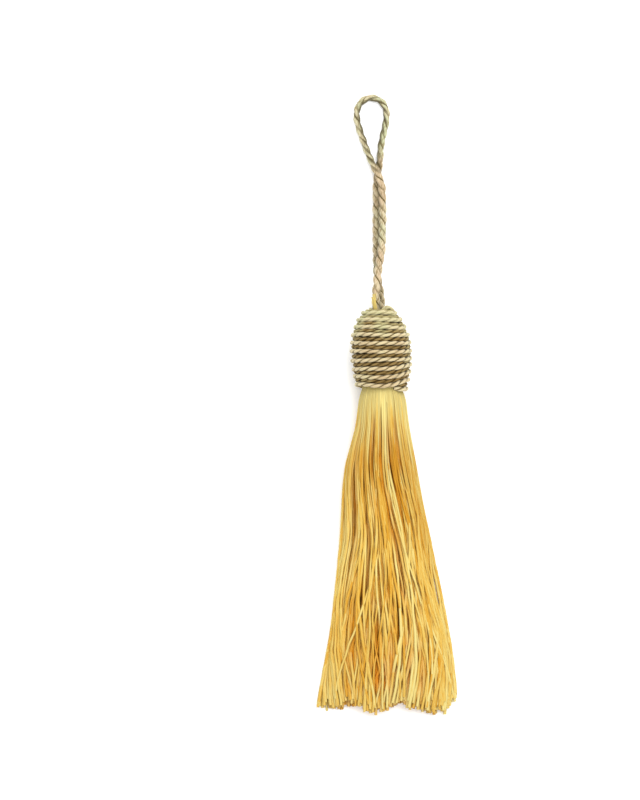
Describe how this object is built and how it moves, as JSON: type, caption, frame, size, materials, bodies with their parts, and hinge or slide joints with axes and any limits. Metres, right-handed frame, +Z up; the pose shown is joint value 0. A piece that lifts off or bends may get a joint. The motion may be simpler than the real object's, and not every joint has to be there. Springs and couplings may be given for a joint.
{
  "type": "silk tassel",
  "caption": "Tassel lying flat: a flared skirt of golden silk threads below a domed head wound in two-tone twisted cord, with a hanging loop of the same cord.",
  "frame": {"origin": "on the surface that the tassel lies on, below the middle of its skirt and head", "axes": "+Y from the hem towards the head and the loop, +Z up from the surface, +X to the right when the tassel is seen from above with its loop at the top"},
  "size_m": [0.0386, 0.1735, 0.0174],
  "materials": {
    "silk": "glossy golden silk thread",
    "wound_cord": "satin two-ply cord, cream and olive brown, wound in rows",
    "loop_cord": "satin two-ply cord, cream and olive brown"
  },
  "bodies": {
    "root": {"skirt": "silk", "head": "wound_cord", "loop": "loop_cord"}
  },
  "joints": []
}
